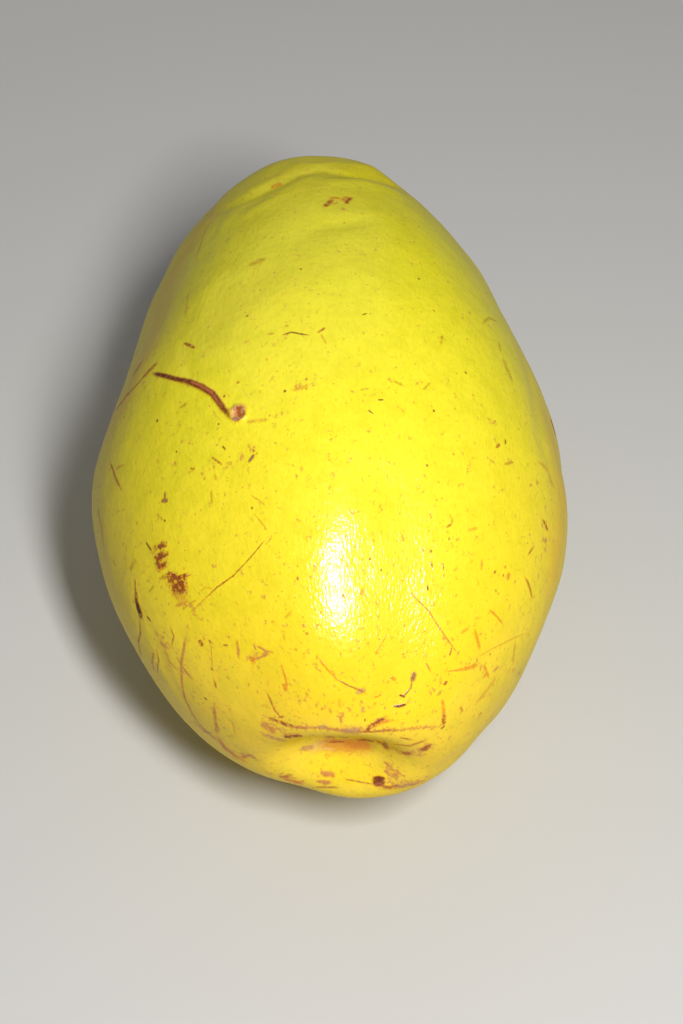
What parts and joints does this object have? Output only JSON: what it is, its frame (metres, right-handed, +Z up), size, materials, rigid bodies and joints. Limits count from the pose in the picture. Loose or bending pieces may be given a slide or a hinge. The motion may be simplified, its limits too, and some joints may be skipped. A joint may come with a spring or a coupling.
{
  "type": "chinese quince fruit",
  "caption": "Whole ripe Chinese quince lying on its side, with a calyx basin at the broad end and a stem hollow at the narrow end.",
  "frame": {"origin": "middle of the underside of the fruit's box, on the plane of the flat spot that it rests on", "axes": "+Z up; the fruit's long axis along Y, with the calyx basin at -Y and the stem hollow at +Y; +X to the right seen from the calyx end"},
  "size_m": [0.0886, 0.1312, 0.0881],
  "materials": {
    "skin": "satin waxy rind, yellow with brown russet marks"
  },
  "bodies": {
    "root": {"fruit": "skin"}
  },
  "joints": []
}
